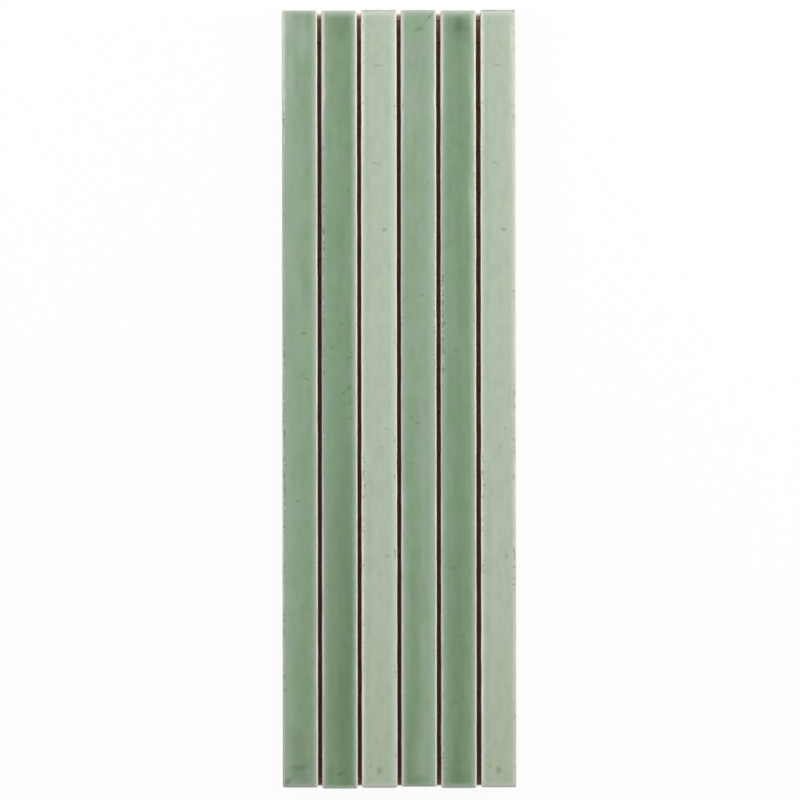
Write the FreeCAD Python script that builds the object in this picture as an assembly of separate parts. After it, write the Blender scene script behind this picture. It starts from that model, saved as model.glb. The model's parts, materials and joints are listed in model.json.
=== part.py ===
# Brick mosaic tile: six long glazed clay sticks laid side by side on a fibreglass net.
# Millimetres. X runs across the sticks, Y along them and +Z out of the glazed face.
# The origin is the middle of the sheet, on the plane of the net's underside.

import FreeCAD, Part
import math
import os

# The sheet
STICK_COUNT = 6
STICK_LENGTH = 300.0
STICK_WIDTH = 13.8  # across the glazed face, at its edges
STICK_THICKNESS = 8.6  # from the back to the middle of the face
JOINT = 1.5  # open space between neighbouring sticks, which grout fills

# Each stick as it was laid: how much longer it is than the others, and how far it slipped along Y
LAID = ((-0.15, 0.13), (0.20, -0.11), (0.10, 0.14), (-0.35, 0.33), (0.00, -0.02), (0.00, 0.21))

# The stick's form
CROWN = 0.4  # the face stands this much higher along its middle than at its edges
ARRIS_RADIUS = 0.7  # soft edge all round the glazed face
CORNER_RADIUS = 1.0  # upright corners at both ends
SIDE_TAPER = 0.2  # each side leans in by this much from the face to the back
HEEL = 0.4  # broken edge along the back

# Keying grooves, which run the whole length of the back
KEY_COUNT = 3
KEY_MOUTH = 2.0
KEY_FLOOR = 1.3
KEY_DEPTH = 0.8

# The net, whose threads are flat and fused where they cross
NET_THICKNESS = 0.4
NET_PITCH = 8.4  # from one thread to the next
THREAD_WIDTH = 1.0
NET_MARGIN = 2.4  # least distance from the net's edge to the edge of the sheet

ACROSS = FreeCAD.Vector(1, 0, 0)
ALONG = FreeCAD.Vector(0, 1, 0)
UP = FreeCAD.Vector(0, 0, 1)

sheet_width = STICK_COUNT * STICK_WIDTH + (STICK_COUNT - 1) * JOINT
edge_height = STICK_THICKNESS - CROWN
half_face = STICK_WIDTH / 2
half_back = half_face - SIDE_TAPER


def key_points():
    """Points of the grooved back from left to right, each groove a shallow trapezium."""
    spacing = 2 * half_back / KEY_COUNT
    points = []
    for i in range(KEY_COUNT):
        middle = (i - (KEY_COUNT - 1) / 2) * spacing
        points += [
            (middle - KEY_MOUTH / 2, 0),
            (middle - KEY_FLOOR / 2, KEY_DEPTH),
            (middle + KEY_FLOOR / 2, KEY_DEPTH),
            (middle + KEY_MOUTH / 2, 0),
        ]
    return points


def stick_section():
    """The stick's outline across its length: grooved back, leaning sides and crowned face."""
    heel_out = half_back + SIDE_TAPER * HEEL / edge_height
    right = [(half_back - HEEL, 0), (heel_out, HEEL), (half_face, edge_height)]
    left = [(-x, z) for x, z in reversed(right)]
    outline = [FreeCAD.Vector(x, 0, z) for x, z in left + key_points() + right]
    crown = Part.Arc(outline[-1], FreeCAD.Vector(0, 0, STICK_THICKNESS), outline[0])
    return Part.Wire([*Part.makePolygon(outline).Edges, crown.toShape()])


def upright_corners(solid):
    """The four edges where the leaning sides meet the ends."""
    return [
        e
        for e in solid.Edges
        if e.BoundBox.YLength < 1e-6 and e.BoundBox.ZLength > edge_height / 2
    ]


def face_edges(solid):
    """The edges round the glazed face, the one whose middle lies highest."""
    glazed = max(solid.Faces, key=lambda f: f.CenterOfMass.z)
    return glazed.Edges


def stick(length):
    """One fired stick, lying on its back with its middle over the origin."""
    bar = Part.Face(stick_section()).extrude(ALONG * length)
    bar.translate(ALONG * (-length / 2))
    bar = bar.makeFillet(CORNER_RADIUS, upright_corners(bar))
    return bar.makeFillet(ARRIS_RADIUS, face_edges(bar))


def laid_sticks():
    """The sticks side by side on the net, one joint apart."""
    laid = {}
    for i in range(STICK_COUNT):
        longer, slip = LAID[i % len(LAID)]
        piece = stick(STICK_LENGTH + longer)
        across = (i - (STICK_COUNT - 1) / 2) * (STICK_WIDTH + JOINT)
        piece.translate(ACROSS * across + ALONG * slip + UP * NET_THICKNESS)
        laid[f"stick_{i + 1}"] = piece
    return laid


def thread(x_start, x_end, y_start, y_end):
    """A flat thread of the net."""
    corner = FreeCAD.Vector(x_start, y_start, 0)
    return Part.makeBox(x_end - x_start, y_end - y_start, NET_THICKNESS, corner)


def backing_net():
    """The net, as many whole meshes as the sheet holds, with its threads fused where they cross."""
    half_thread = THREAD_WIDTH / 2
    meshes_across = math.floor((sheet_width - 2 * NET_MARGIN - THREAD_WIDTH) / NET_PITCH)
    meshes_along = math.floor((STICK_LENGTH - 2 * NET_MARGIN - THREAD_WIDTH) / NET_PITCH)
    half_width = meshes_across * NET_PITCH / 2
    half_length = meshes_along * NET_PITCH / 2
    threads = []
    for i in range(meshes_across + 1):
        middle = i * NET_PITCH - half_width
        sides = (middle - half_thread, middle + half_thread)
        threads.append(thread(*sides, -half_length - half_thread, half_length + half_thread))
    for i in range(meshes_along + 1):
        middle = i * NET_PITCH - half_length
        sides = (middle - half_thread, middle + half_thread)
        threads.append(thread(-half_width - half_thread, half_width + half_thread, *sides))
    return threads[0].multiFuse(threads[1:]).removeSplitter()


def main():
    """Writes one STEP for each piece."""
    pieces = laid_sticks()
    pieces["backing_net"] = backing_net()
    os.makedirs("parts", exist_ok=True)
    for name, shape in pieces.items():
        shape.exportStep(f"parts/{name}.step")
        print(name, shape.ShapeType, len(shape.Solids), shape.isValid(), round(shape.Volume, 1))


main()
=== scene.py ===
# %% [markdown]
# # A sheet of glazed clay sticks
# Six long clay sticks lie side by side on a glass-fibre net, one narrow joint apart. Each stick
# was cut from a bar of red clay, coated with a pale slip, glazed green on its face and fired.
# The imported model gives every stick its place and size. This script gives each one the surface
# that firing leaves: a cushioned face, a soft and slightly chipped edge, and a keyed back.

# %% Load the frame
import json
import math

import bpy
import numpy as np
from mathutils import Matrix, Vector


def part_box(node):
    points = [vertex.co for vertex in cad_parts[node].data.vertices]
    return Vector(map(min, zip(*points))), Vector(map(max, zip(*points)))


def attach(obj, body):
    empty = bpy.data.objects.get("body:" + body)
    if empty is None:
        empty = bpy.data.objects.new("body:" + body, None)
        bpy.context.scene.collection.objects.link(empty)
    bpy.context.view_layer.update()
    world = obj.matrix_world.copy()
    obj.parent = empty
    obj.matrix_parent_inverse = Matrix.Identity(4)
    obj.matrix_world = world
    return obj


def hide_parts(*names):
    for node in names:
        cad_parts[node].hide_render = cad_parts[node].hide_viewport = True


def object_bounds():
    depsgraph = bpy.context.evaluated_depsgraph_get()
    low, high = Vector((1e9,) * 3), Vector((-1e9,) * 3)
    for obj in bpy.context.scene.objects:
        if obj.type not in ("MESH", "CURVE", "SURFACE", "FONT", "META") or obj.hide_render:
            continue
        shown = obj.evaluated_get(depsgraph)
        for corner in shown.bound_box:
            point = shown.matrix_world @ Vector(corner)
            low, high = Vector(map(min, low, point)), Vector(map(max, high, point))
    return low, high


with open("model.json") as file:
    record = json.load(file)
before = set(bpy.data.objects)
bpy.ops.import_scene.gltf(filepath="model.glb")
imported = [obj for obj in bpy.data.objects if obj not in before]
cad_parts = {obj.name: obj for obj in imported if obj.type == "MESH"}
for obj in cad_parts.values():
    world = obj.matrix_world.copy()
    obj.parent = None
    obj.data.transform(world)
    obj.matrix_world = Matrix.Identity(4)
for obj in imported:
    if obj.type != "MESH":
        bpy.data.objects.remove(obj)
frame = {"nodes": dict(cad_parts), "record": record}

sheet_low, sheet_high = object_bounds()
print("sheet, mm:", [round(1000 * (b - a), 2) for a, b in zip(sheet_low, sheet_high)])

# %% [markdown]
# ## Sizes
# The shapes are worked out in millimetres and turned into metres only when a mesh is made. The
# stick's outer sizes are read from the frame. The small ones are those of the solid model, but
# for a crisper edge round the face.

# %% Sizes
MM = 0.001  # one millimetre in Blender's metres
STICKS = sorted(name for name in frame["nodes"] if name.startswith("stick"))

first_low, first_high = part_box(STICKS[0])
HALF_WIDTH = (first_high.x - first_low.x) / 2 / MM
THICKNESS = (first_high.z - first_low.z) / MM
CROWN = 0.4  # the face is this much higher in its middle than at its edges
EDGE_HEIGHT = THICKNESS - CROWN
ARRIS = 0.45  # radius of the edge round the face, which glaze leaves a little crisper than clay
CORNER = 1.0  # radius of the upright corners
HEEL = 0.4  # rounding along the back
SIDE_TAPER = 0.2  # the sides lean in by this much towards the back
KEY_MIDDLES = (-4.53, 0.0, 4.53)  # keying grooves along the back
KEY_MOUTH = 2.0
KEY_FLOOR = 1.3
KEY_DEPTH = 0.8
NET_PITCH = 8.4  # from one yarn of the net to the next
print("half width", round(HALF_WIDTH, 3), "thickness", round(THICKNESS, 3))

# %% [markdown]
# ## Random but repeatable relief
# No pressed clay is quite flat. Its relief is a sum of cosine waves, which is easy to keep in
# bounds. Each wave's direction, length and start are drawn from one seed, so that the same stick
# comes out on every run.


# %% Relief
def smooth(value, low, high):
    """0 below low, 1 above high and a soft S between them: 3t² − 2t³ with t from 0 to 1."""
    t = np.clip((value - low) / (high - low), 0, 1)
    return t * t * (3 - 2 * t)


def ripples(x, y, seed, wave_x, wave_y, count=14):
    """Relief of about −1 to 1: the sum of cosine waves, whose lengths are near wave_x across and
    wave_y along, divided by the root of their number."""
    chance = np.random.default_rng(seed)
    turn = chance.uniform(0, 2 * np.pi, count)
    stretch = chance.uniform(0.6, 1.6, count)
    start = chance.uniform(0, 2 * np.pi, count)
    per_x = np.cos(turn) * stretch / wave_x
    per_y = np.sin(turn) * stretch / wave_y
    waves = np.cos(2 * np.pi * (x[..., None] * per_x + y[..., None] * per_y) + start)
    return waves.sum(axis=-1) / math.sqrt(count)


# %% [markdown]
# ## The stick's section
# Cut across, a stick is a slab with a gently crowned face, two quarter-round edges, sides that
# lean in, and three grooves in its back. The outline is made of four lines that meet at their
# ends. Points crowd together where the outline bends, which a sine or cosine spacing gives.

# %% Section
ACROSS_POINTS = 53
SIDE_POINTS = 17


def face_line():
    """Left to right over the face: x = half width · sin(πt/2), on a parabola that falls by the
    crown, less the fall of a quarter circle at each edge."""
    x = HALF_WIDTH * np.sin(np.pi / 2 * np.linspace(-1, 1, ACROSS_POINTS))
    over = np.clip(np.abs(x) - (HALF_WIDTH - ARRIS), 0, ARRIS)
    edge_fall = ARRIS - np.sqrt(ARRIS**2 - over**2)
    return x, EDGE_HEIGHT + CROWN * (1 - (x / HALF_WIDTH) ** 2) - edge_fall


def side_line():
    """Top to bottom down the right side: z = height · (1 + cos πt)/2, leaning in by the taper,
    with a quarter circle along the heel."""
    z = (EDGE_HEIGHT - ARRIS) * (1 + np.cos(np.pi * np.linspace(0, 1, SIDE_POINTS))) / 2
    over = np.clip(HEEL - z, 0, HEEL)
    x = HALF_WIDTH - SIDE_TAPER * (1 - z / EDGE_HEIGHT) - (HEEL - np.sqrt(HEEL**2 - over**2))
    return x, z


def back_line():
    """Left to right along the back: flat lands with three grooves, whose walls follow a soft S."""
    end = side_line()[0][-1]
    reaches = (-KEY_MOUTH / 2, -KEY_FLOOR / 2, KEY_FLOOR / 2, KEY_MOUTH / 2)
    stops = [-end, *(middle + reach for middle in KEY_MIDDLES for reach in reaches), end]
    x = np.interp(np.linspace(0, len(stops) - 1, ACROSS_POINTS), np.arange(len(stops)), stops)
    nearest = np.min(np.abs(x[:, None] - np.array(KEY_MIDDLES)), axis=1)
    return x, KEY_DEPTH * smooth(KEY_MOUTH / 2 - nearest, 0, (KEY_MOUTH - KEY_FLOOR) / 2)


def section_ring():
    """The four lines as one closed ring, clockwise as seen from −Y, with its outward normals."""
    face_x, face_z = face_line()
    side_x, side_z = side_line()
    back_x, back_z = back_line()
    x = np.concatenate([face_x, side_x[1:-1], back_x[::-1], -side_x[-2:0:-1]])
    z = np.concatenate([face_z, side_z[1:-1], back_z[::-1], side_z[-2:0:-1]])
    along_x = np.roll(x, -1) - np.roll(x, 1)
    along_z = np.roll(z, -1) - np.roll(z, 1)
    size = np.hypot(along_x, along_z)
    out_x, out_z = -along_z / size, along_x / size
    back = slice(ACROSS_POINTS + SIDE_POINTS - 1, 2 * ACROSS_POINTS + SIDE_POINTS - 3)
    out_x[back], out_z[back] = 0, -1
    return x, z, out_x, out_z


print("points round the section:", len(section_ring()[0]))

# %% [markdown]
# ## The whole stick as one closed surface
# The ring is carried along the stick. Near each end it is drawn in round a quarter circle, which
# gives the rounded edges of the end in the same move. A flat cap closes it: a grid between the
# four lines, with each inner point worked out from the four edge points level with it.

# %% Stick surface
ALONG_POINTS = 390
END_STEPS = 5


def cap_grid(corner_first):
    """Numbers of the ring's points as a grid, rows from face to back and columns from left to
    right, with −1 where the cap needs a point of its own."""
    grid = np.full((SIDE_POINTS, ACROSS_POINTS), -1)
    right = corner_first + ACROSS_POINTS - 1
    back_right = right + SIDE_POINTS - 1
    back_left = back_right + ACROSS_POINTS - 1
    ring_size = 2 * (ACROSS_POINTS + SIDE_POINTS) - 4
    grid[0] = np.arange(corner_first, right + 1)
    grid[:, -1] = np.arange(right, back_right + 1)
    grid[-1] = np.arange(back_left, back_right - 1, -1)
    left_side = np.arange(back_left, corner_first + ring_size)
    grid[1:, 0] = left_side[::-1]
    return grid


def fill_patch(edge):
    """Inner points between four edge lines: the blend of left and right, plus the blend of top
    and bottom, less the blend of the corners, which both of those count."""
    rows, columns = edge.shape[:2]
    v = np.linspace(0, 1, rows)[:, None, None]
    u = np.linspace(0, 1, columns)[None, :, None]
    sideways = (1 - u) * edge[:, :1] + u * edge[:, -1:]
    upright = (1 - v) * edge[:1] + v * edge[-1:]
    corners = (1 - v) * ((1 - u) * edge[0, 0] + u * edge[0, -1])
    corners = corners + v * ((1 - u) * edge[-1, 0] + u * edge[-1, -1])
    return sideways + upright - corners


def grid_quads(grid):
    """Four-cornered faces between neighbouring rows and columns of a grid of point numbers."""
    corners = (grid[:-1, :-1], grid[:-1, 1:], grid[1:, 1:], grid[1:, :-1])
    return np.stack(corners, axis=-1).reshape(-1, 4)


def plain_stick(length):
    """The stick without relief. Rows run along it and columns round it. The last rows turn over
    the end: y = length/2 − R + R·sin(a) and drawn in by R·(1 − cos(a)), a from 0 to 90°."""
    x, z, out_x, out_z = section_ring()
    radius = CORNER * out_x**2 + ARRIS * np.clip(out_z, 0, 1) ** 2
    radius = radius + HEEL * np.clip(-out_z, 0, 1) ** 2
    angle = np.linspace(0, np.pi / 2, END_STEPS + 1)[1:, None]
    turned_y = length / 2 - radius + radius * np.sin(angle)
    turned_in = radius * (1 - np.cos(angle))
    straight = np.linspace(-1, 1, ALONG_POINTS)[:, None] * (length / 2 - CORNER)
    straight_y = np.broadcast_to(straight, (ALONG_POINTS, len(x)))
    y = np.concatenate([-turned_y[::-1], straight_y, turned_y])
    inward = np.concatenate([turned_in[::-1], 0 * straight_y, turned_in])
    return np.stack([x - out_x * inward, y, z - out_z * inward], axis=-1)


def closed_stick(rows):
    """Points and faces of the rows, with a cap on each end."""
    count, ring_size = rows.shape[:2]
    numbers = np.arange(count * ring_size).reshape(count, ring_size)
    numbers = np.concatenate([numbers, numbers[:, :1]], axis=1)
    points = [rows.reshape(-1, 3)]
    quads = [grid_quads(numbers)]
    total = count * ring_size
    for first, flip in ((0, False), ((count - 1) * ring_size, True)):
        grid = cap_grid(first)
        edge = points[0][grid]
        inner = fill_patch(edge)[1:-1, 1:-1].reshape(-1, 3)
        grid[grid < 0] = total + np.arange(len(inner))
        total += len(inner)
        points.append(inner)
        quads.append(grid_quads(grid[:, ::-1] if flip else grid)[:, ::-1])
    return np.concatenate(points), np.concatenate(quads)


def enclosed_volume(points, quads):
    """Volume inside a closed mesh, by adding up signed pyramids to the origin. Positive means
    that the faces point outwards."""
    a, b, c, d = (points[quads[:, i]] for i in range(4))
    halves = np.cross(b - a, c - a) + np.cross(c - a, d - a)
    return float((halves * (a + b + c + d) / 4).sum() / 6)


test_points, test_quads = closed_stick(plain_stick(300.0))
print("plain stick, mm³:", round(enclosed_volume(test_points, test_quads)), len(test_quads))

# %% [markdown]
# ## What pressing and firing leave
# The face of a real stick is a cushion: it drops a little more at its ends, and it waves by a
# few hundredths of a millimetre, which shows only in its reflections. The long edges waver by
# less than the width of a hair, so that the joints stay even.

# %% Wear
FACE_WAVE = 0.035
SHORT_WAVE = 0.4 * FACE_WAVE
LONG_LENGTHS = (11, 34)  # of the face's long waves, across the stick and along it
SHORT_LENGTHS = (5, 9)
RELIEF_DEPTHS = (1.4, 0.3)  # below the face's edge, between which its relief sets in
END_FALL = 0.22  # how far the cushion drops at the ends
END_REACH = 2.2
EDGE_WAVER = 0.03
FINE_WAVER = 0.15  # share of the finer waves in it
WAVER_LENGTHS = (40, 21)
FINE_LENGTHS = (40, 6)


def fired_stick(length, seed, trim):
    """The rows of a stick after firing, and its plain place at each point. The face gets waves
    and a fall at its ends of depth · exp(−distance/reach). The sides get waves along Y alone,
    which grow from nothing at the back to full size at the face, and are read at one x for each
    side. The trim is how much narrower the stick is at its left and its right."""
    plain = plain_stick(length)
    x, y, z = plain[..., 0], plain[..., 1], plain[..., 2]
    face = smooth(z, *(EDGE_HEIGHT - depth for depth in RELIEF_DEPTHS))
    from_end = length / 2 - np.abs(y)
    wave = FACE_WAVE * ripples(x, y, seed, *LONG_LENGTHS)
    wave = wave + SHORT_WAVE * ripples(x, y, seed + 1, *SHORT_LENGTHS)
    fall = END_FALL * np.exp(-from_end / END_REACH) + FACE_WAVE
    lean = smooth(z, 0, EDGE_HEIGHT)
    waver = ripples(np.sign(x) * 3, y, seed + 2, *WAVER_LENGTHS)
    waver = waver + FINE_WAVER * ripples(np.sign(x) * 2, y, seed + 3, *FINE_LENGTHS)
    bent = plain.copy()
    narrower = np.where(x < 0, trim[0], -trim[1])
    bent[..., 0] += lean * (EDGE_WAVER * waver + narrower) * np.abs(x) / HALF_WIDTH
    bent[..., 2] += face * (wave - fall)
    return bent, plain


# %% [markdown]
# ## Making the meshes
# A finished piece stays at the world's origin with its place in its points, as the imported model
# does. Each point also keeps its place on its own stick, which the glaze's patterns follow.


# %% Mesh
def piece(name, points, faces, material):
    """A smooth-shaded mesh object at the origin, from points in millimetres."""
    mesh = bpy.data.meshes.new(name)
    mesh.from_pydata(points * MM, [], faces)
    mesh.shade_smooth()
    mesh.materials.append(material)
    made = bpy.data.objects.new(name, mesh)
    bpy.context.scene.collection.objects.link(made)
    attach(made, "root")
    return made


def note(made, name, values):
    """Keeps one number or one vector for each point of a mesh."""
    kind, field = ("FLOAT", "value") if values.ndim == 1 else ("FLOAT_VECTOR", "vector")
    attribute = made.data.attributes.new(name, kind, "POINT")
    attribute.data.foreach_set(field, values.astype(np.float32).ravel())


# %% [markdown]
# ## Writing shader maths as ordinary expressions
# A long formula of Math nodes is hard to read. The first class wraps one socket, so that
# `1 - mask * 2` adds the Math nodes by itself. Any other node comes from one method of the
# second, which takes its type, its settings and what goes into its sockets.


# %% Shader helpers
SHIFT = (13.1, 7.7, 3.3)  # each seed and each turn reads the noise this much further on
ANY_HEIGHT = 1000  # so large that height doesn't count in a distance from a spot


def maths(operation, reflected=False):
    """A method of Wire that adds one Math node."""

    def method(wire, *others):
        values = (*others, wire) if reflected else (wire, *others)
        return wire.finish.node("ShaderNodeMath", {"operation": operation}, dict(enumerate(values)))

    return method


class Wire:
    """A value on its way through a material. Arithmetic on it adds Math nodes."""

    def __init__(self, finish, socket):
        self.finish = finish
        self.socket = socket

    __add__ = maths("ADD")
    __radd__ = maths("ADD", reflected=True)
    __sub__ = maths("SUBTRACT")
    __rsub__ = maths("SUBTRACT", reflected=True)
    __mul__ = maths("MULTIPLY")
    __rmul__ = maths("MULTIPLY", reflected=True)
    __truediv__ = maths("DIVIDE")
    __abs__ = maths("ABSOLUTE")
    smallest = maths("MINIMUM")
    largest = maths("MAXIMUM")
    fraction = maths("FRACT")

    def step(self, low, high):
        """0 below low, 1 above high and a soft S between them."""
        settings = {"interpolation_type": "SMOOTHSTEP"}
        sockets = {"Value": self, "From Min": low, "From Max": high}
        return self.finish.node("ShaderNodeMapRange", settings, sockets)


class Finish:
    """A material or a world being made, with the one method that adds any node to it."""

    def __init__(self, owner, seed):
        owner.use_nodes = True
        self.owner = owner
        self.tree = owner.node_tree
        self.seed = seed

    def feed(self, socket, value):
        if isinstance(value, Wire):
            self.tree.links.new(value.socket, socket)
        else:
            socket.default_value = value

    def node(self, kind, settings=None, sockets=None, output=0):
        made = self.tree.nodes.new(kind)
        for name, value in (settings or {}).items():
            setattr(made, name, value)
        for name, value in (sockets or {}).items():
            self.feed(made.inputs[name], value)
        return Wire(self, made.outputs[output])

    def sheet_place(self):
        """Place on the whole sheet in millimetres."""
        metres = self.node("ShaderNodeTexCoord", output="Object")
        sockets = {"Vector": metres, "Scale": (1 / MM, 1 / MM, 1 / MM)}
        return self.node("ShaderNodeMapping", sockets=sockets)

    def kept(self, name, output):
        """What note() kept for each point."""
        return self.node("ShaderNodeAttribute", {"attribute_name": name}, output=output)

    def parts(self, vector):
        split = self.node("ShaderNodeSeparateXYZ", sockets={"Vector": vector}).socket.node
        return [Wire(self, split.outputs[axis]) for axis in "XYZ"]

    def cloud(self, waves, turn, detail=2.0, roughness=0.5):
        """Soft noise from 0 to 1 whose patches are about waves millimetres in size. Each turn
        gives another noise."""
        scale = tuple(1 / wave for wave in waves)
        shift = tuple((self.seed + turn) * step for step in SHIFT)
        sockets = {"Vector": self.place, "Location": shift, "Scale": scale}
        moved = self.node("ShaderNodeMapping", sockets=sockets)
        sockets = {"Vector": moved, "Scale": 1.0, "Detail": detail, "Roughness": roughness}
        return self.node("ShaderNodeTexNoise", sockets=sockets)

    def from_spot(self, x, y, long, wide, turn):
        """Distance from a spot, as a multiple of its own reach: long and wide are its half
        axes in millimetres, and turn is the angle in degrees from X to its long axis."""
        settings = {"vector_type": "TEXTURE"}
        sockets = {"Vector": self.place, "Location": (x, y, 0), "Scale": (long, wide, ANY_HEIGHT)}
        sockets["Rotation"] = (0, 0, math.radians(turn))
        moved = self.node("ShaderNodeMapping", settings, sockets)
        return self.node("ShaderNodeVectorMath", {"operation": "LENGTH"}, {0: moved}, "Value")

    def blend(self, low, high, factor, way="MIX"):
        """One colour turning into another as the factor goes from 0 to 1, or with another way
        of mixing, such as MULTIPLY. On the node, 0 is the factor and 6 and 7 are the colours."""
        settings = {"data_type": "RGBA", "blend_type": way}
        return self.node("ShaderNodeMix", settings, {0: factor, 6: low, 7: high}, output=2)

    def bump(self, height):
        """Turns a height in millimetres into a normal."""
        sockets = {"Height": height, "Distance": MM, "Strength": 1.0}
        return self.node("ShaderNodeBump", sockets=sockets)

    def seen_rays(self):
        """1 for rays that show the thing itself, straight, mirrored or through glass."""
        path = self.node("ShaderNodeLightPath").socket.node
        kinds = ("Is Camera Ray", "Is Glossy Ray", "Is Transmission Ray")
        camera, mirror, glass = (Wire(self, path.outputs[kind]) for kind in kinds)
        return camera.largest(mirror).largest(glass)

    def connect(self, **sockets):
        shader = self.tree.nodes["Principled BSDF"]
        for name, value in sockets.items():
            self.feed(shader.inputs[name.replace("_", " ")], value)


def material(name, seed=0):
    """A new material, with the place of each point on its own piece."""
    finish = Finish(bpy.data.materials.new(name), seed)
    finish.place = finish.kept("own", "Vector")
    return finish


def colour(red, green, blue):
    """A screen colour of 0 to 255 as the linear colour that a shader works with."""
    steps = [value / 255 for value in (red, green, blue)]
    linear = [s / 12.92 if s <= 0.04045 else ((s + 0.055) / 1.055) ** 2.4 for s in steps]
    return (*linear, 1.0)


# %% [markdown]
# ## The glaze
# A glaze is coloured glass. Where it lies thick it is a deep green, and where it runs thin over
# an edge the pale slip shows through, so each stick has light borders round a darker middle. It
# mixes unevenly in the kiln, which leaves milky, bluish and yellowish clouds drawn out along the
# stick. All of that is colour, but some milky and greyer patches are partly a painted sheen too,
# which stands for soft reflections on the glaze. The glass itself is clear and glossy, so the
# roughness is low and nearly even, and below the glazed edge it gives way to dull red clay.

# %% Colours
SLIP = colour(236, 234, 222)
SLIP_GREY = colour(206, 207, 198)
# Painted shade: the darker grey-green line along the ends, and near the head along the outer left edge,
# where the edge turns down out of the light
EDGE_SHADE_GREY = colour(152, 157, 143)
CLAY = colour(164, 96, 62)
CLAY_DARK = colour(118, 64, 42)
CLAY_PALE = colour(192, 148, 122)
GLUE = colour(206, 190, 152)
YARN = colour(222, 204, 170)
YARN_DEEP = colour(200, 174, 132)
LACQUER = colour(206, 172, 122)
IRON = colour(84, 96, 76)
# The next four are factors that the glaze is multiplied by
SHADED = (0.50, 0.55, 0.49, 1.0)  # where a flaw darkens it
ROSY = (0.94, 0.89, 0.86, 1.0)  # at the foot, where it took up iron from the clay
OLIVE = (0.98, 1.0, 0.92, 1.0)  # along the last third before the foot
GREY_TONE_AND_SHEEN = (1.04, 0.965, 1.07, 1.0)  # where it is greyer: partly the glaze's own tone, partly a painted sheen

GLAZES = {
    "mid_green_glaze": {
        "body": colour(144, 172, 140), "deep": colour(117, 150, 111),
        "milk": colour(152, 172, 153), "warm": colour(154, 171, 146),
        "haze": colour(161, 179, 159), "thin": colour(190, 201, 183),
    },
    "dark_green_glaze": {
        "body": colour(131, 161, 126), "deep": colour(101, 132, 95),
        "milk": colour(139, 162, 140), "warm": colour(138, 161, 131),
        "haze": colour(152, 174, 150), "thin": colour(190, 202, 184),
    },
    "pale_green_glaze": {
        "body": colour(183, 198, 178), "deep": colour(174, 190, 169),
        "milk": colour(186, 198, 182), "warm": colour(184, 198, 172),
        "haze": colour(193, 206, 190), "thin": colour(208, 214, 199),
    },
}
print("glazes:", ", ".join(GLAZES))

# %% [markdown]
# ## Each stick's own firing
# No two sticks lie in the same place in the kiln, so each has its own darkest streak and its own
# borders. All places are in millimetres from the stick's middle. The streak is given by its
# middle, from −1 at the left edge to 1 at the right, and its half width in the same measure.
# Depth and rim are three numbers each, for the head, the middle and the foot, and the end shade has
# two, for the head and the foot: how dark the line is that is painted along each end, and near the
# head along the outer left edge, a painted shade where the edge turns down. The borders are given
# by how far they reach in and how pale they get, and the edge by how wide the line along the right
# edge is, and its colour. Clouds are broad places that came out milky or, with a minus, deeper;
# the milky ones are partly a painted sheen, which stands for soft reflections on the glaze. The
# greyer places are as broad, and are partly the glaze's own tone and partly painted sheen too.
# Marks are the few small flaws in each face. All three are a place, half length, half width, turn
# and strength. Specks sit on the long edges, in stretches given by side, where they begin and end,
# and how dense they are.

# %% What is usual
USUAL = {"edge": (0.5, SLIP), "singed": (0.15, 0.25), "greyish": []}
FIRING = {}


def fire(name, **own):
    """Keeps what the kiln did to one stick, where that differs from the usual."""
    FIRING[name] = USUAL | own
    print(name, "marks:", len(own["marks"]))


# %% First stick
fire(
    "stick_1", seed=11, streak=(0.38, 1.1), depth=(0.45, 0.27, 0.45),
    left=(6, 0.3), right=(2.8, 0.85), head=(2.4, 0.95), foot=(3, 0.72),
    rim=(0.85, 0.3, 0.45), tinted=0.8,
    clouds=[
        (0.9, 139, 9, 4.2, 90, 0.75), (-4.5, 25, 14, 3, 90, -0.25), (0.8, 25, 14, 3, 90, 0.2),
        (-4, 128, 10, 2.5, 90, 0.45), (1, -105, 70, 6.5, 90, -0.2), (-1.5, -134, 10, 3.5, 90, -0.45),
        (-1, -144.7, 4.6, 3, 0, -0.5),
    ],
    greyish=[(-6.9, -20, 150, 2.6, 90, 1), (0, -140, 16, 7, 90, 1)],
    marks=[
        (1.5, 25.3, 0.8, 0.45, 10, 0.75), (2.5, 7.8, 0.9, 0.35, -35, 0.7), (0.8, 9.3, 0.7, 0.35, 0, 0.4),
        (-0.9, -39.5, 0.8, 0.35, -15, 0.85), (-3.1, -83.2, 1.1, 0.6, 0, 0.25),
        (-0.3, -142.2, 2.8, 1, 5, 0.62), (-4.9, -147.7, 1.4, 0.9, 40, 0.8),
        (-5.9, -13, 0.9, 0.3, 90, 0.8), (-6, -29.3, 0.6, 0.3, 90, 0.9), (-5.7, -112.1, 0.7, 0.3, 90, 0.8),
    ],
    specks=[
        (-1, 96, 113, 1), (-1, 50, 84, 0.4), (-1, 9, 27, 0.7), (-1, -54, 2, 1), (-1, -74, -62, 0.7),
        (-1, -93, -81, 0.7), (-1, -116, -101, 0.7), (-1, -139, -128, 0.4),
    ],
)

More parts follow.
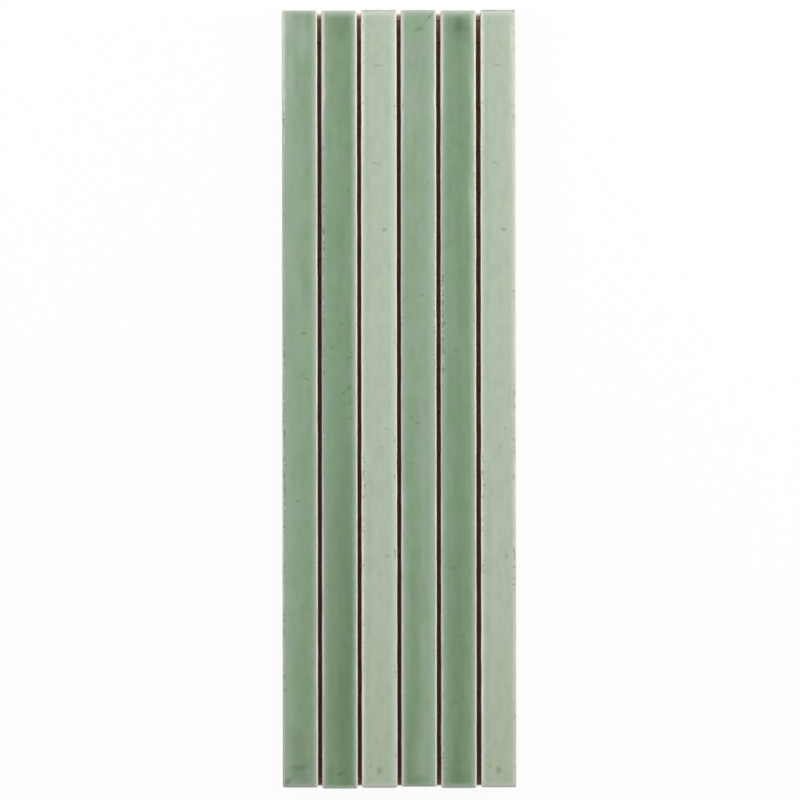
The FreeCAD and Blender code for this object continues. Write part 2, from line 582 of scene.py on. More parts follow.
# %% Second stick
fire(
    "stick_2", seed=23, streak=(0.4, 1), depth=(0.35, 0.3, 0.5),
    left=(3.2, 0.55), right=(2.7, 0.95), head=(3.6, 0.95), foot=(2, 1),
    rim=(1, 0.05, 0.9), tinted=0.35,
    clouds=[
        (-0.3, 144, 7, 4.5, 90, -0.5), (0.5, -95, 85, 7.5, 90, -0.45), (-3.6, -145, 6, 1.6, 90, -0.35),
    ],
    greyish=[(-6, 0, 190, 3.4, 90, 1)],
    marks=[
        (0.6, 29.3, 1.1, 0.45, 10, 0.4), (1.9, 24.3, 1.3, 0.35, 5, 0.3), (-2.7, 20.1, 0.9, 0.7, 0, 0.6),
        (-2.4, 15.5, 0.7, 0.6, 0, 0.4), (4, 16.2, 0.8, 0.5, 0, 0.45), (4.8, 18.2, 0.4, 0.35, 0, 0.5),
        (3.4, 4.3, 1.4, 0.5, 45, 0.6), (1.6, 2.7, 0.8, 0.35, 20, 0.65), (4.1, -1.1, 0.5, 0.7, 0, 0.5),
        (1.9, -1.9, 0.5, 0.4, 0, 0.4), (4, -7.3, 0.7, 0.4, -20, 0.5), (3.5, 81, 0.4, 0.7, 0, 0.4),
        (3.8, -87.5, 0.5, 0.4, 0, 0.25), (0.4, -144.2, 1.5, 0.8, 10, 0.55), (-5.9, 97, 0.5, 0.3, 90, 0.8),
        (-5.9, 74.5, 0.5, 0.3, 90, 0.9), (-5.9, 65.2, 0.8, 0.3, 90, 0.8),
    ],
    specks=[(-1, 88, 100, 0.4), (-1, 50, 79, 1), (-1, 7, 50, 0.7), (-1, -16, -6, 0.6)],
)

# %% Third stick
fire(
    "stick_3", seed=37, streak=(-0.6, 0.3), depth=(0.5, 0.5, 0.5),
    left=(2.4, 0.95), right=(3.2, 0.9), head=(3, 1.65), foot=(2.6, 1),
    rim=(1, 1, 1), singed=(0.75, 0.45), tinted=0.7,
    clouds=[
        (-4.2, -20, 9, 2.2, 90, 0.3), (0, 145, 2, 5, 90, -0.5), (0, -125, 50, 6.5, 90, -0.4),
        (0, -145.4, 1.8, 5, 90, -0.4),
    ],
    marks=[
        (-0.4, 128.6, 1.1, 0.45, 0, 0.5), (-1.1, 91, 1.2, 0.4, -10, 0.4), (2.2, 65.3, 0.8, 0.8, 0, 0.72),
        (2.4, 5.6, 0.5, 0.5, 0, 0.25), (-1.3, 6.5, 0.4, 0.4, 0, 0.2), (2.7, -11.6, 0.6, 0.5, 0, 0.3),
        (0.7, -18.6, 0.9, 0.45, 30, 0.4), (-5.6, -33.4, 0.4, 0.7, 0, 1), (-5.8, -24.3, 0.35, 0.5, 0, 0.9),
        (6, -16.2, 0.3, 0.7, 0, 0.9), (5.9, -30, 0.3, 0.8, 0, 0.8), (3.3, -60.7, 0.7, 0.6, 0, 0.5),
        (-3.5, -141.8, 0.9, 0.35, -30, 0.4), (-0.1, -143.2, 0.9, 1.2, 0, 0.72),
    ],
    specks=[
        (-1, 127, 149, 0.5), (-1, 111, 127, 0.4), (-1, -54, -16, 0.8), (-1, -66, -56, 0.7),
        (-1, -116, -81, 0.45), (1, 109, 116, 0.8), (1, 19, 27, 0.8), (1, -62, -54, 0.8),
        (1, -108, -102, 0.8), (1, -141, -133, 0.8),
    ],
)

# %% Fourth stick
fire(
    "stick_4", seed=41, streak=(-0.38, 0.8), depth=(0, 0.22, 0.8),
    left=(2.6, 0.8), right=(4.4, 0.77), head=(3.6, 0.9), foot=(1.6, 0.7),
    rim=(0.9, 0.55, 0.85), tinted=0.8,
    clouds=[
        (-3.5, 112, 14, 3, 90, 0.4), (-4, -136, 16, 3, 90, -0.45), (-0.5, -137, 8, 2.6, 90, 0.3),
        (4.5, -144, 4, 1.5, 90, -0.35), (0, -146.8, 1.6, 6, 90, -0.6), (1, -5, 40, 3, 90, 0.2),
        (-5, -85, 20, 3, 90, 0.3), (1.5, -80, 12, 3, 90, -0.25),
    ],
    greyish=[(1.5, -16, 27, 4, 90, 0.8), (0, 130, 9, 5, 90, 0.8)],
    marks=[
        (4.5, 147.4, 1.9, 0.45, 40, 0.8), (2.3, 144.7, 2.2, 0.45, 50, 0.3),
        (0.4, 142.5, 1.8, 0.8, 15, 0.54), (3.6, 83.3, 0.5, 0.4, 0, 0.35), (1, 39.6, 0.8, 0.5, 0, 0.42),
        (-2.9, -7.7, 0.8, 0.7, 0, 0.5), (-0.5, -9.4, 0.8, 0.4, -20, 0.6),
        (-2.2, -25, 1.3, 0.35, 15, 0.25), (4.2, -117.2, 0.5, 0.4, 0, 0.35),
    ],
    specks=[
        (-1, 111, 117, 0.7), (-1, 27, 38, 0.7), (-1, -4, 4, 0.7), (1, 11, 42, 0.7), (1, -101, -93, 0.7),
    ],
)

# %% Fifth stick
fire(
    "stick_5", seed=59, streak=(0.02, 0.9), depth=(0.35, 0.38, 0.62),
    left=(3.2, 0.8), right=(3, 0.9), head=(3.8, 1), foot=(2.8, 0.87),
    rim=(1, 0.5, 0.85), tinted=0.4,
    clouds=[
        (1.4, 142, 5, 5.5, 90, -0.45), (-2.5, 25, 14, 4, 90, 0.3), (1.5, -146, 5, 3, 0, -0.3),
    ],
    greyish=[(-6.9, -20, 130, 2.4, 90, 0.7)],
    marks=[
        (0.3, 144.6, 1.6, 2.4, 0, 0.7), (3.1, 142.8, 0.8, 0.6, 30, 0.45), (-2.8, 60.6, 0.7, 0.4, 0, 0.45),
        (-0.5, 18.5, 1, 0.7, 0, 0.28), (-2.1, -65.1, 1, 0.8, 0, 0.5), (1.5, -90.9, 0.9, 0.7, 0, 0.35),
        (-0.8, -116.8, 1, 0.7, 0, 0.3), (0.1, -139.5, 2, 1.5, 0, 0.18), (-5.7, 29.3, 0.4, 0.7, 0, 1),
        (-5.6, 18, 0.3, 0.8, 0, 0.9), (-5.5, 11.5, 0.4, 0.6, 0, 0.7),
    ],
    specks=[
        (-1, 4, 50, 1), (-1, -97, -93, 0.7), (-1, -116, -112, 0.7), (-1, -145, -131, 1), (1, 58, 96, 0.6),
        (1, 27, 34, 0.6),
    ],
)

# %% Sixth stick
# It came out as the third did, but for its right border and edge and its specks
OWN = dict(
    right=(2.6, 0.6),
    edge=(1.25, colour(206, 206, 194)),
    specks=[
        (-1, 127, 149, 0.4), (-1, 92, 119, 0.5), (-1, -54, -16, 0.7), (-1, -70, -56, 0.7),
        (1, 131, 146, 0.7), (1, 104, 115, 0.7), (1, 38, 46, 0.7), (1, -23, 7, 0.8), (1, -77, -50, 0.8),
        (1, -143, -112, 0.6),
    ],
)
fire("stick_6", **(FIRING["stick_3"] | OWN))

# %% [markdown]
# ## From firing to material
# The finish is built up as the potter builds it: the green and its clouds, the thin borders over
# the slip, the rim, the flaws, and at last the bare clay below. The right rim is a clean cream
# line. The left one is greyer, comes and goes, and is full of specks where the glaze crawled
# back from the clay. The milky and warm tints are about as bright as the green, so that they
# change little but its hue.


# %% Green
DEPTH_SPANS = ((60, 140), (-130, 40))  # of Y, in which the streak changes near head and foot
OLIVE_SPAN = (-145, -40)


def drift(y, values, head_span, foot_span):
    """A number with one value at the head, one in the middle and one at the foot. It changes
    softly over a span of Y near each end."""
    head, middle, foot = values
    near_head = y.step(*head_span)
    near_foot = 1 - y.step(*foot_span)
    return near_head * (head - middle) + near_foot * (foot - middle) + middle


def green_glass(finish, tints, firing):
    """The glaze's colour away from the edges: body, dark streak, broad clouds and tints. The milky clouds
    are partly a painted sheen for soft reflections.
    """
    middle, spread = firing["streak"]
    x, y = finish.x, finish.y
    wander = (finish.cloud((90, 34, 90), 1, detail=1.0) - 0.5) * 0.8
    streaks = finish.cloud((2.6, 46, 2.6), 3, detail=1.5)
    mottle = finish.cloud((2.0, 2.8, 2.0), 4, detail=3.0, roughness=0.6)
    off = abs(x / HALF_WIDTH - middle - wander)
    deep = (1 - off.step(0.0, spread)) * drift(y, firing["depth"], *DEPTH_SPANS)
    deep = deep + (streaks - 0.5) * 0.5 + (mottle - 0.5) * 0.2
    milky_and_sheen = 0.0
    # A cloud with a plus is partly milkier glaze and partly a painted sheen, which stands for a soft
    # reflection
    for x_spot, y_spot, long, wide, turn, change in firing["clouds"]:
        distance = finish.from_spot(x_spot, y_spot, long, wide, turn)
        cloud = 1 - (distance + (streaks - 0.5) * 0.8).step(0.2, 1.3)
        if change < 0:
            deep = deep - cloud * change
        else:
            milky_and_sheen = cloud * change + milky_and_sheen
    milk = finish.cloud((6.0, 10.0, 6.0), 5, detail=0.5)
    warm = finish.cloud((7.0, 13.0, 7.0), 6, detail=0.5)
    uneven = finish.cloud((2.6, 7.0, 2.6), 20, detail=4.0, roughness=0.6)
    pinholes = finish.cloud((0.9, 1.1, 0.9), 25, detail=0.0).step(0.74, 0.86)
    tinted = firing["tinted"]
    green = finish.blend(tints["body"], tints["warm"], warm.step(0.47, 0.68) * 0.75 * tinted)
    green = finish.blend(green, tints["milk"], milk.step(0.47, 0.68) * 0.75 * tinted)
    thicker = tuple(d / b for d, b in zip(tints["deep"], tints["body"]))
    green = finish.blend(green, thicker, deep, "MULTIPLY")
    faint = (uneven - 0.4) * 0.7 + pinholes * 0.15
    green = finish.blend(green, SHADED, faint, "MULTIPLY")
    green = finish.blend(green, OLIVE, 1 - y.step(*OLIVE_SPAN), "MULTIPLY")
    return finish.blend(green, tints["haze"], milky_and_sheen)


# %% Borders
LEFT_SPANS = ((60, 125), (-60, 20))
SHOULDER = (1.0, 2.2)  # how far in the left border stays pale, which it does near the head
SHOULDER_SPAN = (60, 130)
WIDER_SPAN = (-40, 30)  # the right border grows wider here
WIDER = 0.4


def border(distance, ragged, reach, paleness):
    """1 at the edge and 0 past the reach, with a soft and slightly ragged fade."""
    return ((1 - (distance + ragged * 0.9).step(0.0, reach)) * paleness).smallest(1.0)


def thin_borders(finish, green, tints, firing, half_length):
    """Glaze that thins towards the four edges: first a bluish haze, then the pale slip."""
    x, y = finish.x, finish.y
    ragged = finish.cloud((1.6, 3.0, 1.6), 7) - 0.5
    slow = finish.cloud((50, 24, 50), 8, detail=1.0) * 0.7 + 0.65
    left = border(x + HALF_WIDTH, ragged, *firing["left"]) * slow
    left = left * drift(y, (1.0, 0.85, 1.0), *LEFT_SPANS)
    shoulder = 1 - (x + HALF_WIDTH + ragged * 0.5).step(*SHOULDER)
    left = left.largest(shoulder * y.step(*SHOULDER_SPAN) * 0.9)
    right = border(HALF_WIDTH - x - y.step(*WIDER_SPAN) * WIDER, ragged, *firing["right"])
    head = border(half_length - y, ragged, *firing["head"])
    foot = border(half_length + y, ragged, *firing["foot"])
    thinned = 1 - (1 - left) * (1 - right) * (1 - head) * (1 - foot)
    skin = finish.blend(green, tints["haze"], thinned.step(-0.1, 0.7))
    skin = finish.blend(skin, tints["thin"], thinned.step(0.55, 1.05))
    skin = finish.blend(skin, ROSY, (foot * 0.7).smallest(1.0), "MULTIPLY")
    # Greyer places: partly the glaze's own tone, partly a painted sheen for soft reflections
    for x_spot, y_spot, long, wide, turn, amount in firing["greyish"]:
        distance = finish.from_spot(x_spot, y_spot, long, wide, turn)
        skin = finish.blend(skin, GREY_TONE_AND_SHEEN, (1 - distance.step(0.4, 1.3)) * amount, "MULTIPLY")
    return skin


# %% Rims
RIM_SPANS = ((95, 125), (-60, 20))
END_SHADE_SPANS = ((20, 30), (-30, -20))
NEAR_HEAD = (60, 115)
NEAR_FOOT = (-130, -60)
LEFT_WIDER = (-90, 10)  # the left line grows wider here, towards the foot
LEFT_LINE = (0.3, 0.75)  # how far in each line starts to fade and ends
CREAM_LINE = (0.1, 0.35)
OUTER_LINE = (0.2, 0.55)
END_LINE = (0.4, 0.75)
FADE = 0.15  # half the width in which the right line ends


def rims(finish, skin, firing, half_length):
    """The line at the very edge: cream on the right, greyer and broken on the left, and a darker
    line at the ends and the outer left edge near the head, which is painted shade where the edge turns
    down."""
    x, y = finish.x, finish.y
    ragged = finish.cloud((0.8, 1.3, 0.8), 9) - 0.5
    patches = finish.cloud((50, 17, 50), 10)
    near_head = y.step(*NEAR_HEAD)
    near_foot = 1 - y.step(*NEAR_FOOT)
    wider = (patches - 0.5) * 0.6 + (near_head + near_foot) * 0.12
    reach, edge_colour = firing["edge"]
    right = HALF_WIDTH - x + ragged * 0.3 - wider
    wider = near_head * 0.5 + (1 - y.step(*LEFT_WIDER)) * 0.35
    left = 1 - (HALF_WIDTH + x + ragged * 0.5 - wider).step(*LEFT_LINE)
    strength = drift(y, firing["rim"], *RIM_SPANS)
    left = left * strength * (patches.step(0.3, 0.55) * 0.6 + 0.4)
    left_colour = finish.blend(SLIP_GREY, SLIP, firing["rim"][1] ** 4)
    skin = finish.blend(skin, left_colour, left)
    skin = finish.blend(skin, edge_colour, 1 - right.step(reach - FADE, reach + FADE))
    skin = finish.blend(skin, SLIP, 1 - right.step(*CREAM_LINE))
    # Painted shade: a darker line along the outer left edge near the head and along both ends, where the
    # edge turns down out of the light
    singed_head, singed_foot = firing["singed"]
    outer = (1 - (HALF_WIDTH + x + ragged * 0.3).step(*OUTER_LINE)) * near_head
    skin = finish.blend(skin, EDGE_SHADE_GREY, outer * (singed_head * 0.3 + 0.08))
    singed = drift(y, (singed_head, 0.0, singed_foot), *END_SHADE_SPANS)
    ends = 1 - (half_length - abs(y) + ragged * 0.7).step(*END_LINE)
    spots = finish.cloud((2.2, 9, 9), 24)
    return finish.blend(skin, EDGE_SHADE_GREY, ends * singed * (spots.step(0.35, 0.65) * 0.7 + 0.45))


# %% Flaws
STRETCH_END = 3  # a stretch of specks starts and ends over twice this
SPECKS_FROM = (0.2, 0.6)  # how far in from the edge the specks start and end
SPECKS_TO = (0.8, 1.6)


def speck_stretches(firing, x, y):
    """How dense the specks are: each stretch is 1 between its ends, with a soft start."""
    dense = 0.0
    for side, start, end, amount in firing["specks"]:
        past = abs(y - (start + end) / 2) - (end - start) / 2
        dense = (1 - past.step(-STRETCH_END, STRETCH_END)) * (x * side).step(0, 1) * amount + dense
    return dense


def flaws(finish, skin, firing):
    """Specks of dark clay and cream flecks along the edges, and the marks of the firing."""
    x, y = finish.x, finish.y
    dense = speck_stretches(firing, x, y)
    from_edge = HALF_WIDTH - abs(x)
    fine = finish.cloud((0.9, 1.5, 0.9), 11, roughness=0.6)
    near = (1 - from_edge.step(*SPECKS_TO)) * from_edge.step(*SPECKS_FROM)
    specks = near * (fine + dense * 0.08).step(0.55, 0.74) * dense.smallest(1.0)
    flecks = near * (0.42 - fine + dense * 0.06).step(0.0, 0.1) * dense.smallest(1.0)
    skin = finish.blend(skin, SLIP, flecks * 0.25)
    skin = finish.blend(skin, IRON, specks * 0.42)
    shaken = (finish.cloud((1.1, 1.1, 1.1), 13) - 0.5) * 1.9
    depth = specks * 0.5 + near * dense.smallest(1.0) * 0.15
    for x_spot, y_spot, long, wide, turn, strength in firing["marks"]:
        distance = finish.from_spot(x_spot, y_spot, long, wide, turn)
        mark = (1 - (distance + shaken).step(0.2, 1.9)) * strength
        depth = depth.largest(mark)
    return finish.blend(skin, SHADED, depth * 0.9, "MULTIPLY"), depth


# %% Clay
SHADE_BELOW = 0.7  # how far below the glaze the clay is darker
GLUE_EDGE = (-0.3, 0.1)
BACK = (0.05, 0.15)  # heights between which the back ends and a side starts


def bare_clay(finish, below):
    """Red clay with the lines of the wire that cut it, grit, patches where the fire caught it
    more or less, a darker line below the glaze, and smudges of dry slip."""
    lines = finish.cloud((0.25, 60, 0.25), 14, detail=3.0, roughness=0.7)
    grit = finish.cloud((0.6, 0.9, 0.6), 15, detail=3.0, roughness=0.7)
    fired = finish.cloud((14, 26, 5), 21, detail=3.0, roughness=0.6)
    dust = finish.cloud((3.0, 11, 2.2), 22, detail=4.0, roughness=0.65)
    clay = finish.blend(CLAY, CLAY_DARK, (lines * 0.6 + grit * 0.7).step(0.5, 0.95))
    clay = finish.blend(clay, CLAY_PALE, grit.step(0.55, 0.75) * 0.4)
    clay = finish.blend(clay, CLAY_DARK, fired.step(0.42, 0.7) * 0.7)
    clay = finish.blend(clay, CLAY_PALE, dust.step(0.5, 0.72) * 0.65)
    clay = finish.blend(clay, CLAY_DARK, (1 - below.step(0.0, SHADE_BELOW)) * 0.5)
    return clay, lines * 0.06 + grit * 0.08


def glue_film(finish):
    """1 on the back where the net's glue has spread, a millimetre or so round each yarn."""
    on_sheet = finish.parts(finish.sheet_place())
    spread = finish.cloud((2.4, 2.4, 2.4), 16, detail=1.0) * 2.2
    across, along = (
        abs((turns + 0.5).fraction() - 0.5) * NET_PITCH
        for turns in (on_sheet[0] / NET_PITCH, on_sheet[1] / NET_PITCH + 0.5)
    )
    glued = 1 - (across.smallest(along) - spread).step(*GLUE_EDGE)
    return glued * (1 - finish.z.step(*BACK))


# %% Glazed clay
GLASS_INDEX = 1.5  # how strongly glass bends light
GLASS_ROUGHNESS = 0.10
CLAY_ROUGHNESS = 0.88
GLASS_THICKNESS = 0.12
GLAZE_EDGE = (-0.05, 0.1)


def glazed_clay(name, glaze, firing, half_length):
    """Clay with a glazed face, which runs a little way down the sides. Distances are in
    millimetres on the stick's own place."""
    finish = material(name, firing["seed"])
    finish.x, finish.y, finish.z = finish.parts(finish.place)
    tints = GLAZES[glaze]
    skin = green_glass(finish, tints, firing)
    skin = thin_borders(finish, skin, tints, firing, half_length)
    skin = rims(finish, skin, firing, half_length)
    skin, pits = flaws(finish, skin, firing)

    drop = EDGE_HEIGHT - finish.z
    drips = finish.cloud((1.2, 4.0, 9.0), 17, detail=3.0, roughness=0.6)
    runs = finish.cloud((9.0, 17.0, 40.0), 23)
    overrun = 0.1 + drips * 0.7 + drips.step(0.58, 0.8) * 1.6 + runs.step(0.5, 0.75) * 0.7
    bare = (drop - overrun).step(*GLAZE_EDGE)
    clay, clay_height = bare_clay(finish, drop - overrun)
    glue = glue_film(finish)
    clay = finish.blend(clay, GLUE, glue * 0.6)
    surface = finish.blend(skin, clay, bare)

    mottle = finish.cloud((2.4, 4.0, 2.4), 18, detail=1.0)
    gloss = GLASS_ROUGHNESS + mottle * 0.08 + pits * 0.06
    dull = CLAY_ROUGHNESS - glue * 0.5
    roughness = gloss * (1 - bare) + dull * bare
    orange_peel = finish.cloud((2.6, 3.4, 2.6), 19, detail=1.0)
    glass_height = GLASS_THICKNESS + orange_peel * 0.03 - pits * 0.012
    height = glass_height * (1 - bare) + clay_height * (1 - glue) * bare
    normal = finish.bump(height)
    finish.connect(Base_Color=surface, Roughness=roughness, Normal=normal, IOR=GLASS_INDEX)
    return finish.owner


# %% [markdown]
# ## Laying the sticks
# Each stick takes its length and place from the node it stands for.

# %% Sticks
FULL = (0.0, 0.0)  # how much narrower a stick is at its left and its right
TRIM = {"stick_1": (0.1, 0.03), "stick_4": (0.0, 0.05), "stick_6": (0.2, 0.0)}
slots = {entry["node"]: entry["material_slot"] for entry in frame["record"]["subparts"]}
for name in STICKS:
    low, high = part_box(name)
    middle = np.array((low + high) / 2) / MM
    length = (high.y - low.y) / MM
    firing = FIRING[name]
    rows, plain = fired_stick(length, firing["seed"], TRIM.get(name, FULL))
    points, quads = closed_stick(rows)
    own, _ = closed_stick(plain)
    lift = np.array([middle[0], middle[1], low.z / MM])
    clay = glazed_clay(f"glazed {name}", slots[name], firing, length / 2)
    stick = piece(f"fired_{name}", points + lift, quads, clay)
    note(stick, "own", own)
    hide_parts(name)
    print(name, "faces", len(quads), "mm³", round(enclosed_volume(points, quads)))

# %% [markdown]
# ## The net
# The net on the back is woven glass fibre: flat yarns run across the sheet, and along it run
# pairs of thinner yarns that twist round each other and lock every cross yarn between them. A
# pair is two helices with half a turn for each mesh. A lacquer holds it all, so it is stiff and
# slightly shiny. In the joints it is painted red-brown as the ground there is, a painted shade for
# the red light that the clay walls throw down the joints.

# %% Net
net_low, net_high = (np.array(corner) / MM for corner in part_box("backing_net"))
NET_MIDDLE = (net_low[2] + net_high[2]) / 2
NET_THREAD = 1.0  # width of the solid model's threads, the outer ones of which end the net
YARN_SIDES = 6
YARN_END = 0.02  # a yarn stops this much short of the net's edge
YARN_HEIGHT = 0.065  # half its height
FLAT_WIDTH = 0.45  # half the width of a yarn along X
THIN_WIDTH = 0.2  # and of each yarn of a pair
FLAT_STEPS = 82
THIN_STEPS = 300
TWIST_OUT = 0.2  # how far a yarn of a pair swings out sideways
TWIST_UP = 0.13
FLAT_WANDER = 0.12
THIN_WANDER = 0.1
STICK_PITCH = (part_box(STICKS[1])[0].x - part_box(STICKS[0])[0].x) / MM
YARN_JOINT_SHADE = (0.92, 0.57, 0.38, 1.0)  # painted shade: the yarn in the joints tinted red-brown, as the floor there
YARN_HEAD_SHADE = (0.76, 0.48, 0.36, 1.0)  # painted shade at the head, darker where the head lamp lights it most
YARN_HEAD_SHADE_SPAN = (139, 145)
JOINT_EDGE = (0.6, 1.0)  # from the middle of a joint, where the painted shade on the yarn ends


def yarns(paths, half_width, widthways):
    """Flattened tubes along many paths at once: each path point gets a ring of points on an
    ellipse, and each end closes on one middle point."""
    count, steps = paths.shape[:2]
    angle = np.arange(YARN_SIDES) * 2 * np.pi / YARN_SIDES
    ring = np.cos(angle)[:, None] * half_width * np.array(widthways)
    ring = ring + np.sin(angle)[:, None] * YARN_HEIGHT * np.array((0, 0, 1.0))
    tubes = paths[:, :, None, :] + ring
    numbers = np.arange(count * steps * YARN_SIDES).reshape(count, steps, YARN_SIDES)
    closed = np.concatenate([numbers, numbers[:, :, :1]], axis=2)
    quads = np.concatenate([grid_quads(grid) for grid in closed])
    poles = count * steps * YARN_SIDES + np.arange(2 * count).reshape(2, count)
    fans = []
    for end, pole in ((0, poles[0]), (-1, poles[1])):
        around = closed[:, end]
        tip = np.repeat(pole[:, None], YARN_SIDES, axis=1)
        pair = (around[:, 1:], around[:, :-1]) if end == 0 else (around[:, :-1], around[:, 1:])
        fans.append(np.stack([*pair, tip], axis=-1).reshape(-1, 3))
    points = np.concatenate([tubes.reshape(-1, 3), paths[:, 0], paths[:, -1]])
    return points, quads, np.concatenate(fans)


def cross_yarns():
    """Flat yarns along X, one for each mesh, that wander by a tenth of a millimetre."""
    count = round((net_high[1] - net_low[1] - NET_THREAD) / NET_PITCH) + 1
    start = -(count - 1) / 2 * NET_PITCH
    y = start + np.arange(count)[:, None] * NET_PITCH
    x = np.linspace(net_low[0] + YARN_END, net_high[0] - YARN_END, FLAT_STEPS)[None, :]
    x, y = np.broadcast_arrays(x, y)
    bent = y + FLAT_WANDER * ripples(x, y, 71, 30, 5)
    z = np.full_like(x, NET_MIDDLE)
    return np.stack([x, bent, z], axis=-1)


def long_yarns(turn):
    """One yarn of each twisted pair along Y: x = middle + out·cos(πy/pitch + turn) and
    z = middle + up·sin(πy/pitch + turn)."""
    count = round((net_high[0] - net_low[0] - NET_THREAD) / NET_PITCH) + 1
    middle = (np.arange(count)[:, None] - (count - 1) / 2) * NET_PITCH
    y = np.linspace(net_low[1] + YARN_END, net_high[1] - YARN_END, THIN_STEPS)[None, :]
    middle, y = np.broadcast_arrays(middle, y)
    twist = np.pi * y / NET_PITCH + turn
    wander = THIN_WANDER * ripples(middle, y, 73, 9, 60)
    x = middle + wander + TWIST_OUT * np.cos(twist)
    return np.stack([x, y, NET_MIDDLE + TWIST_UP * np.sin(twist)], axis=-1)


def glass_yarn():
    """Pale glass fibre yellowed by its lacquer, with fine threads along each yarn. In the joints it is
    painted red-brown as shade, darker near the head.
    """
    finish = material("glass yarn")
    along = finish.cloud((0.12, 3.0, 0.12), 3)
    across = finish.cloud((3.0, 0.12, 0.12), 4)
    threads = finish.kept("cross", "Fac") * (across - along) + along
    shade = finish.cloud((5, 5, 5), 5, detail=3.0)
    pale = finish.blend(YARN, YARN_DEEP, threads.step(0.45, 0.75))
    pale = finish.blend(pale, LACQUER, shade.step(0.5, 0.7) * 0.5)
    x, y, _ = finish.parts(finish.sheet_place())
    from_joint = abs((x / STICK_PITCH + 0.5).fraction() - 0.5) * STICK_PITCH
    # Painted shade: red-brown on the yarn in the joints, darker near the head, where the head lamp lights
    # it most
    dust = finish.blend(YARN_JOINT_SHADE, YARN_HEAD_SHADE, y.step(*YARN_HEAD_SHADE_SPAN))
    yarn_in_joint_shade = finish.blend(pale, dust, 1 - from_joint.step(*JOINT_EDGE))
    normal = finish.bump(threads * 0.01)
    finish.connect(Base_Color=yarn_in_joint_shade, Roughness=0.6, Normal=normal)
    return finish.owner


groups = [
    yarns(cross_yarns(), FLAT_WIDTH, (0, 1.0, 0)),
    yarns(long_yarns(0.0), THIN_WIDTH, (1.0, 0, 0)),
    yarns(long_yarns(np.pi), THIN_WIDTH, (1.0, 0, 0)),
]
net_points = []
net_faces = []
crosswise = []
offset = 0
for index, (points, quads, fans) in enumerate(groups):
    net_points.append(points)
    # A yarn along X turns its ring the other way round from one along Y
    turned = index > 0
    net_faces += ((quads[:, ::-1] if turned else quads) + offset).tolist()
    net_faces += ((fans[:, ::-1] if turned else fans) + offset).tolist()
    crosswise.append(np.full(len(points), float(not turned)))
    offset += len(points)
net_points = np.concatenate(net_points)
net = piece("woven_net", net_points, net_faces, glass_yarn())
note(net, "own", net_points)
note(net, "cross", np.concatenate(crosswise))
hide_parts("backing_net")
print("net faces", len(net_faces))

# %% [markdown]
# ## Floor, light and camera
# The sheet lies on a white floor under the camera, which looks straight down. Pouring light on
# the floor to keep it clean white would wash out the glaze, so it glows by itself for the rays
# that show it, and keeps a share of its own shaded look, which holds a faint shadow. Below the
# sheet it takes the light that comes down the joints, and there it is painted red-brown: painted
# shade that stands for the red light the clay walls throw down the joints, so that the joints look
# brown, not grey. At their heads it still glows a little, a painted glow for the light that spills
# in there.


# %% Floor
GLOW = 0.95  # near the sheet, where the floor keeps its shadow
WHITE = (0.97, 0.97, 0.97, 1.0)
JOINT_SHADE_TINT = (0.97, 0.60, 0.40, 1.0)  # painted shade: white tinted red-brown, for the red light that the clay walls throw down the joints
SHEET_EDGE = (-1.0, 0.0)  # past the sheet's box, in millimetres, as in the next three
FAR = (20, 350)
SPILL = (-2.8, -0.1)
DEEP_SPILL = (-7, -3)
DEEP_SHARE = 0.035
FLOOR_HALF = 3.0


def floor_finish():
    """White floor that glows for the camera. Below the sheet it is painted red-brown as shade and doesn't
    glow, but for a painted glow at the heads of the joints.
    """
    finish = Finish(bpy.data.materials.new("floor"), seed=0)
    x, y, _ = finish.parts(finish.sheet_place())
    middle = (sheet_high + sheet_low) / 2 / MM
    half = (sheet_high - sheet_low) / 2 / MM
    past = (abs(x - middle.x) - half.x).largest(abs(y - middle.y) - half.y)
    clear = past.step(*SHEET_EDGE)
    # Painted light: a glow that fades down into the joints from their heads, for the light that spills in
    # there
    past_head = y - middle.y - half.y
    spill = past_head.step(*SPILL)
    spill = spill * spill + past_head.step(*DEEP_SPILL) * DEEP_SHARE
    far = past.step(*FAR)
    # Painted shade: red-brown below the sheet, for the red light that the clay walls throw down the
    # joints
    tint = finish.blend(JOINT_SHADE_TINT, WHITE, clear)
    finish.connect(Base_Color=tint, Roughness=0.9, Specular_IOR_Level=0.0)
    shaded = Wire(finish, finish.tree.nodes["Principled BSDF"].outputs[0])
    glow = finish.node("ShaderNodeEmission", sockets={"Strength": 1.0})
    share = finish.seen_rays() * clear.largest(spill) * (far * (1 - GLOW) + GLOW)
    mixed = finish.node("ShaderNodeMixShader", sockets={0: share, 1: shaded, 2: glow})
    finish.feed(finish.tree.nodes["Material Output"].inputs["Surface"], mixed)
    return finish.owner


floor_mesh = bpy.data.meshes.new("floor")
floor_corners = [(-1, -1, 0), (1, -1, 0), (1, 1, 0), (-1, 1, 0)]
floor_mesh.from_pydata(np.array(floor_corners) * FLOOR_HALF, [], [(0, 1, 2, 3)])
floor_mesh.materials.append(floor_finish())
floor = bpy.data.objects.new("floor", floor_mesh)
bpy.context.scene.collection.objects.link(floor)
print("floor, m:", 2 * FLOOR_HALF)

# %% [markdown]
# Two soft lamps stand left and right, so the light crosses the sticks: it models their edges and
# leaves the joints dark. A weaker third one stands low beyond the head. It shines a little way
# down the joints, as in the photograph, and weakens towards the foot. A lamp's watts are worked
# out from the brightness that it should give a white surface at the sheet. With the room's own
# light they come to about 1.

# %% Light
scene = bpy.context.scene
scene.view_settings.view_transform = "Standard"
ROOM_LIGHT = 0.155

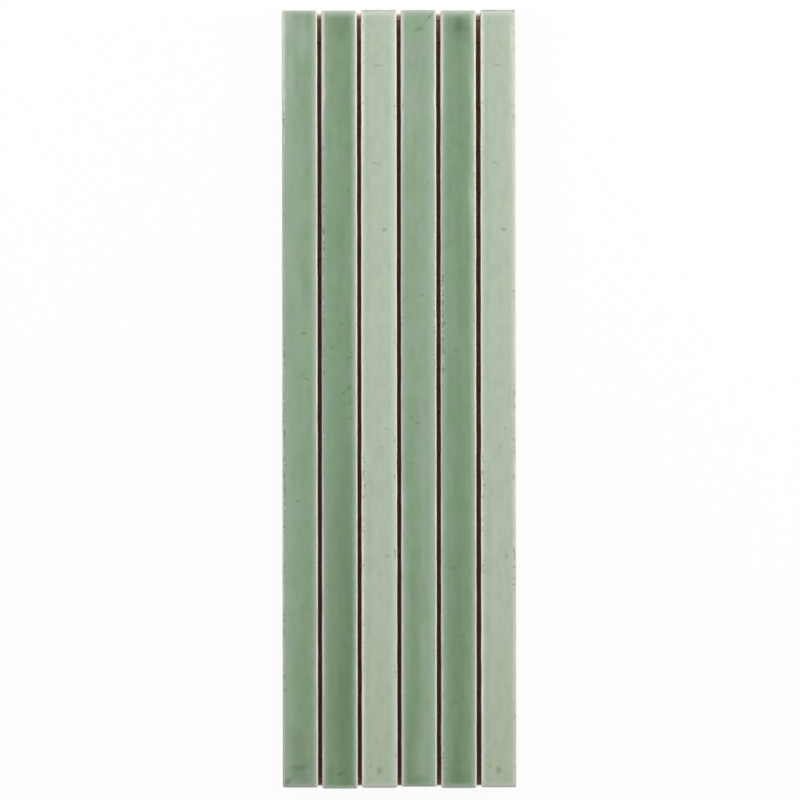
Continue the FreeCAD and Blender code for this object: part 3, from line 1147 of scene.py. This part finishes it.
room = Finish(bpy.data.worlds.new("room"), seed=0)
room_strength = ROOM_LIGHT + room.seen_rays() * (1 - ROOM_LIGHT)
room.feed(room.tree.nodes["Background"].inputs["Color"], (1, 1, 1, 1))
room.feed(room.tree.nodes["Background"].inputs["Strength"], room_strength)
scene.world = room.owner


def softbox(name, place, width, height, level):
    """A soft lamp aimed at the sheet. A white surface facing up there reaches the given level:
    watts = level · π² · distance² / cosine of the angle from upright."""
    lamp = bpy.data.lights.new(name, "AREA")
    lamp.shape = "RECTANGLE"
    lamp.size = width
    lamp.size_y = height
    distance = math.dist(place, (0, 0, 0))
    lamp.energy = level * math.pi**2 * distance**2 / (place[2] / distance)
    made = bpy.data.objects.new(name, lamp)
    made.location = place
    aim = made.location.normalized().to_track_quat("Z", "Y")
    made.rotation_mode = "QUATERNION"
    made.rotation_quaternion = aim
    scene.collection.objects.link(made)
    print(name, "watts:", round(lamp.energy, 2))
    return made


softbox("left lamp", (-0.55, 0.14, 0.58), width=0.5, height=0.8, level=0.35)
softbox("right lamp", (0.55, 0.14, 0.58), width=0.5, height=0.8, level=0.445)
head_lamp = softbox("head lamp", (0.0, 0.9, 0.3), width=0.8, height=0.4, level=0.08)
head_lamp.visible_glossy = False  # its mirror image would burn out the faces seen from low down

# %% Camera
FRAME_WIDTH = 0.30855  # what the camera sees across, at the height of the glazed faces
CAMERA_HEIGHT = 1.8
SENSOR_WIDTH = 36.0  # millimetres
OFF_CENTRE = (0.00038, -0.00031)
TURN = -0.073  # degrees, by which the sheet lies askew in the photograph
camera_data = bpy.data.cameras.new("camera")
camera_data.sensor_width = SENSOR_WIDTH
camera_data.lens = SENSOR_WIDTH * (CAMERA_HEIGHT - sheet_high.z) / FRAME_WIDTH
camera = bpy.data.objects.new("camera", camera_data)
camera.location = (*OFF_CENTRE, CAMERA_HEIGHT)
camera.rotation_euler = (0, 0, math.radians(TURN))
scene.collection.objects.link(camera)
scene.camera = camera
print("lens, mm:", round(camera_data.lens, 1))
